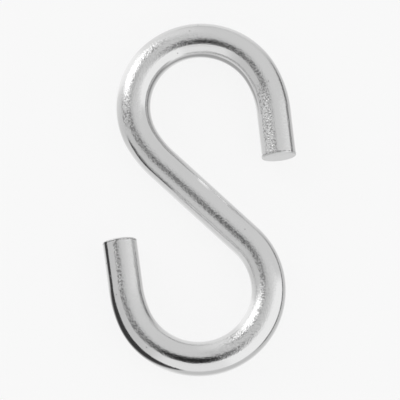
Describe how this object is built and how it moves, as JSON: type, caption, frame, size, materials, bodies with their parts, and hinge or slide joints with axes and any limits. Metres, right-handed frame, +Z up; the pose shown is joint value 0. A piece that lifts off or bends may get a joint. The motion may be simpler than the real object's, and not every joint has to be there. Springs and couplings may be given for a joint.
{
  "type": "s hook",
  "caption": "Round-wire S hook: two open rounded hooks facing opposite ways on a slanting shank, for joining or hanging rings, links, cords and rods.",
  "frame": {"origin": "on the surface the hook lies on, under the middle of its box", "axes": "+Z up, out of the plane of the wire; +Y along the line through the centres of the two bends, towards the upper hook; +X across the hook, towards the upper hook's tip"},
  "size_m": [0.0276, 0.0518, 0.005],
  "materials": {
    "zinc_wire": "bright zinc plating on drawn steel wire, glossy with fine draw lines and pits"
  },
  "bodies": {
    "root": {"s_hook": "zinc_wire"}
  },
  "joints": []
}
